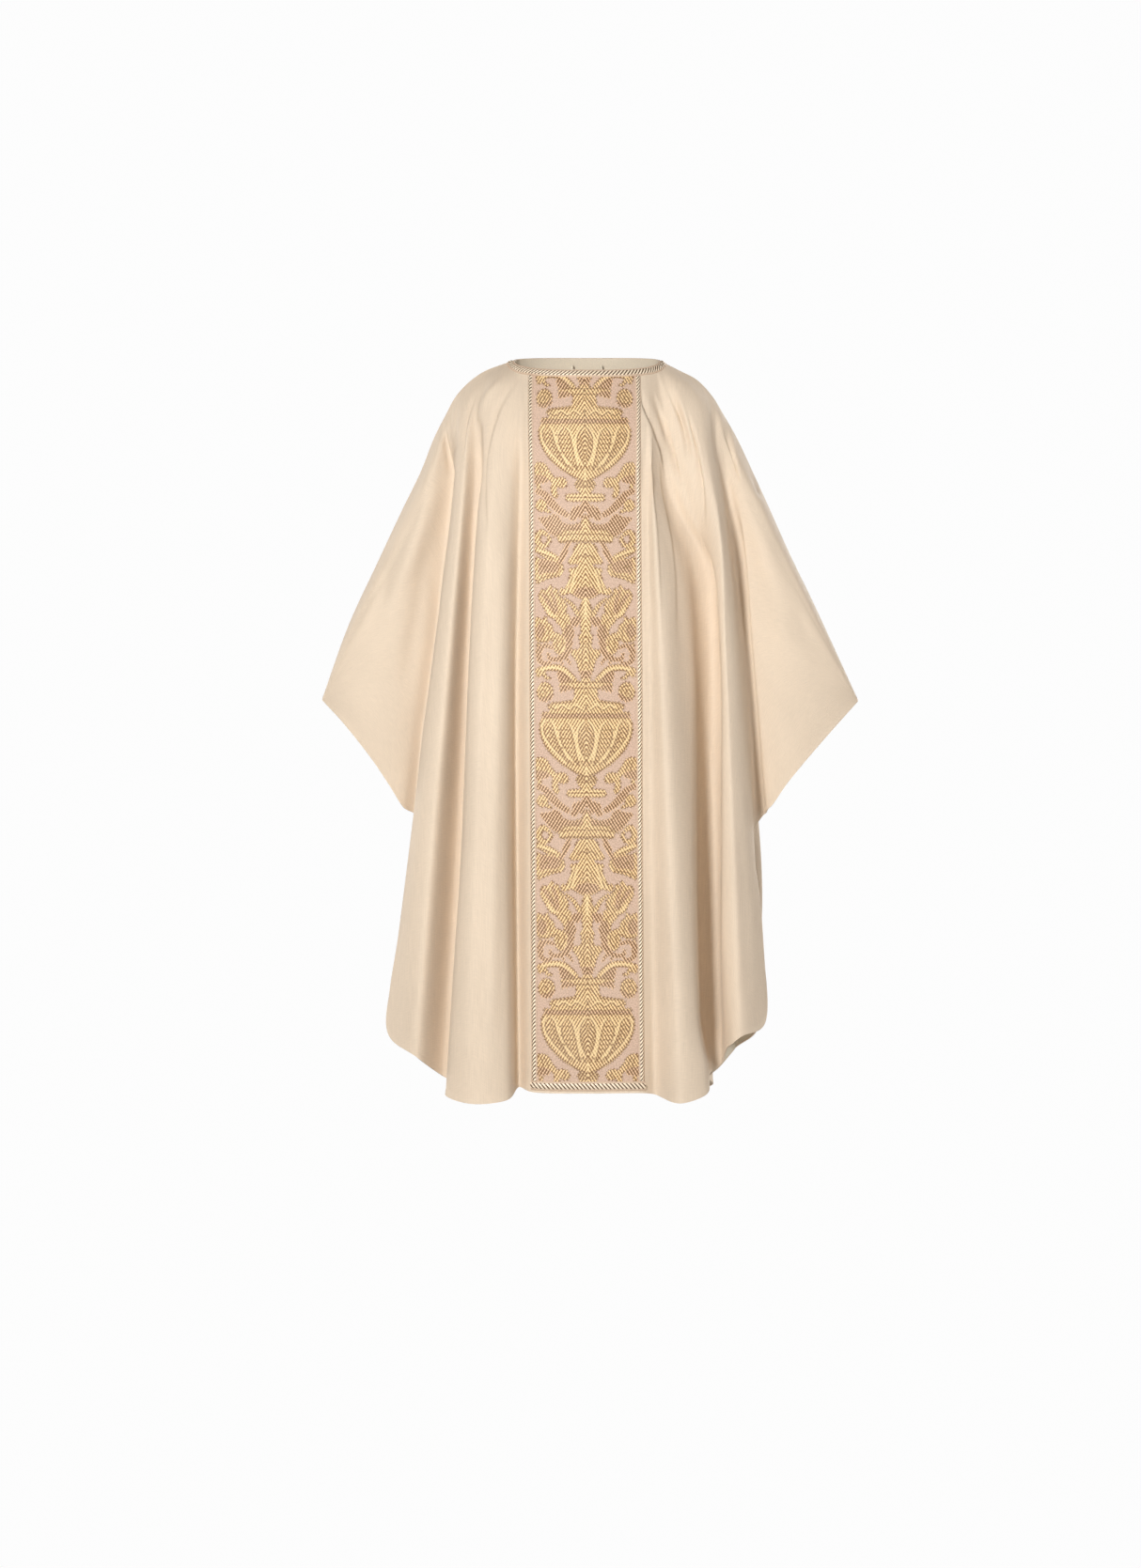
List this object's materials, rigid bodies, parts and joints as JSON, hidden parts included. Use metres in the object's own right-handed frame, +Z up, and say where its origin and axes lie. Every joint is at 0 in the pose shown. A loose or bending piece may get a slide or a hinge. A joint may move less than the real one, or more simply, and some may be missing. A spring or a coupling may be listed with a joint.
{
  "type": "chasuble",
  "caption": "Cream gothic chasuble with a full-length brocade orphrey edged in twisted braid, hanging in folds from neckline and shoulders.",
  "frame": {"origin": "middle of the vestment's footprint, level with the lowest point of the hem", "axes": "+Z up towards the neckline, -Y towards the front, +X towards the wearer's left"},
  "size_m": [0.9352, 0.4407, 1.3002],
  "materials": {
    "cream_wool": "matt fine wool blend, plain weave",
    "orphrey_brocade": "rose-beige brocade with gold and brown metallic weft",
    "galloon_braid": "twisted silver-gold cord on a flat edging",
    "interfacing": "matt",
    "cotton_tape": "matt",
    "satin_label": "satin, blank"
  },
  "bodies": {
    "vestment_body": {"back_braid_bottom": "galloon_braid", "back_braid_left": "galloon_braid", "back_braid_right": "galloon_braid", "back_centre_panel": "cream_wool", "back_hem_tape": "cotton_tape", "back_orphrey": "orphrey_brocade", "back_orphrey_interfacing": "interfacing", "front_braid_bottom": "galloon_braid", "front_braid_left": "galloon_braid", "front_braid_right": "galloon_braid", "front_centre_panel": "cream_wool", "front_hem_tape": "cotton_tape", "front_orphrey": "orphrey_brocade", "front_orphrey_interfacing": "interfacing", "neck_braid": "galloon_braid", "neck_facing_back": "cotton_tape", "neck_facing_front": "cotton_tape", "neck_label": "satin_label", "shoulder_stay_tape_left": "cotton_tape", "shoulder_stay_tape_right": "cotton_tape"},
    "left_drape": {"front_drape_left": "cream_wool", "back_drape_left": "cream_wool", "front_cuff_tape_left": "cotton_tape", "back_cuff_tape_left": "cotton_tape"},
    "right_drape": {"front_drape_right": "cream_wool", "back_drape_right": "cream_wool", "front_cuff_tape_right": "cotton_tape", "back_cuff_tape_right": "cotton_tape"},
    "hanger_loop_body": {"hanger_loop": "cotton_tape"}
  },
  "joints": [
    {"name": "left_drape_lift", "type": "hinge", "parent": "vestment_body", "child": "left_drape", "pos_m": [0.2141, 0, 1.2258], "axis": [0, -1, 0], "range_deg": [0, 38]},
    {"name": "right_drape_lift", "type": "hinge", "parent": "vestment_body", "child": "right_drape", "pos_m": [-0.2354, 0, 1.2255], "axis": [0, 1, 0], "range_deg": [0, 38]},
    {"name": "hanger_loop_flip", "type": "hinge", "parent": "vestment_body", "child": "hanger_loop_body", "pos_m": [-0.006, 0.07161, 1.287], "axis": [-1, 0, 0], "range_deg": [0, 160]}
  ]
}
